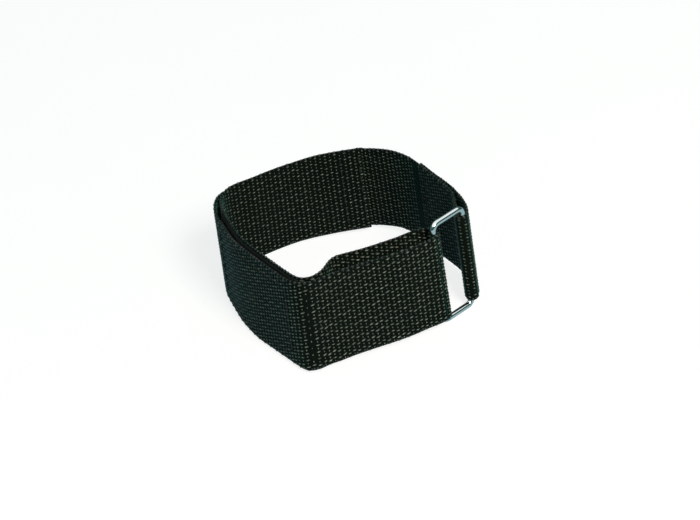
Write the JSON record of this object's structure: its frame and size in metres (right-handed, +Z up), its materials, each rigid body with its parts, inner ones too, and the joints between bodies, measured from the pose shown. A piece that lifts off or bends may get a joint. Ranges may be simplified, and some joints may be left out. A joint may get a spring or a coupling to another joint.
{
  "type": "wrist strap",
  "caption": "Woven wrist strap that passes through an upright wire ring and folds back on itself with a hook and loop closure.",
  "frame": {"origin": "middle of the footprint, on the surface the strap stands on", "axes": "+Z up, along the webbing's width; +X from the closed side towards the ring; +Y from the front to the back"},
  "size_m": [0.0652, 0.0644, 0.0303],
  "materials": {
    "webbing": "woven, matt with a faint sheen on the yarns",
    "ring_wire": "bright plated steel wire",
    "loop_tape": "brushed loop pile",
    "hook_tape": "rows of small moulded hooks",
    "thread": "twisted sewing thread"
  },
  "bodies": {
    "band": {"band_webbing": "webbing", "ring_turn_webbing": "webbing", "keeper_webbing": "webbing", "loop_tape": "loop_tape", "loop_tape_stitching": "thread", "lap_stitching": "thread", "keeper_stitching": "thread"},
    "ring": {"wire_ring": "ring_wire"},
    "tail": {"tail_webbing": "webbing", "hook_tape": "hook_tape", "hook_tape_stitching": "thread"}
  },
  "joints": [
    {"name": "ring_swing", "type": "hinge", "parent": "band", "child": "ring", "pos_m": [0.03022, -0.01229, 0.015], "axis": [0, 0, -1], "range_deg": [0, 10]},
    {"name": "tail_peel", "type": "hinge", "parent": "band", "child": "tail", "pos_m": [0.0221, -0.0191, 0.015], "axis": [0, 0, 1], "range_deg": [0, 150], "deforming": ["ring_turn_webbing"]}
  ]
}
